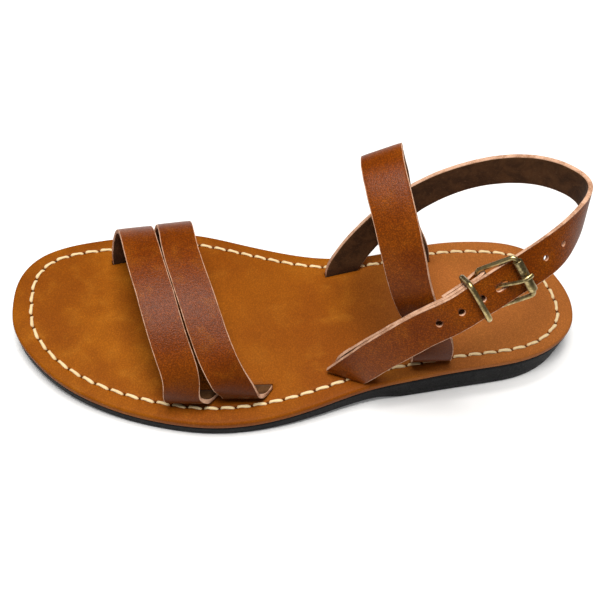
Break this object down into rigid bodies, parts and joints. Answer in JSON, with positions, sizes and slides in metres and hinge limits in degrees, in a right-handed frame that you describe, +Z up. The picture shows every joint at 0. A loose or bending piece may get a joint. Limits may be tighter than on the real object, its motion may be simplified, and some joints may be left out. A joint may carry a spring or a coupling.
{
  "type": "leather sandal",
  "caption": "Flat left leather sandal: stitched footbed on a rubber sole with a low heel, crossing toe and instep straps, and an ankle strap with a roller buckle.",
  "frame": {"origin": "middle of the flat tread of the heel, on the ground plane", "axes": "+X from the toe toward the heel, +Y toward the inner (medial) side of the left foot, +Z up"},
  "size_m": [0.269, 0.1134, 0.1031],
  "materials": {
    "footbed_leather": "satin",
    "strap_leather": "satin",
    "sole_rubber": "matte",
    "buckle_brass": "aged"
  },
  "bodies": {
    "root": {"outsole": "sole_rubber", "footbed": "footbed_leather", "front_toe_strap": "strap_leather", "rear_toe_strap": "strap_leather", "instep_strap": "strap_leather", "ankle_strap": "strap_leather", "buckle_strap": "strap_leather", "buckle_frame": "buckle_brass", "buckle_roller": "buckle_brass", "buckle_prong": "buckle_brass", "strap_keeper": "buckle_brass"}
  },
  "joints": []
}
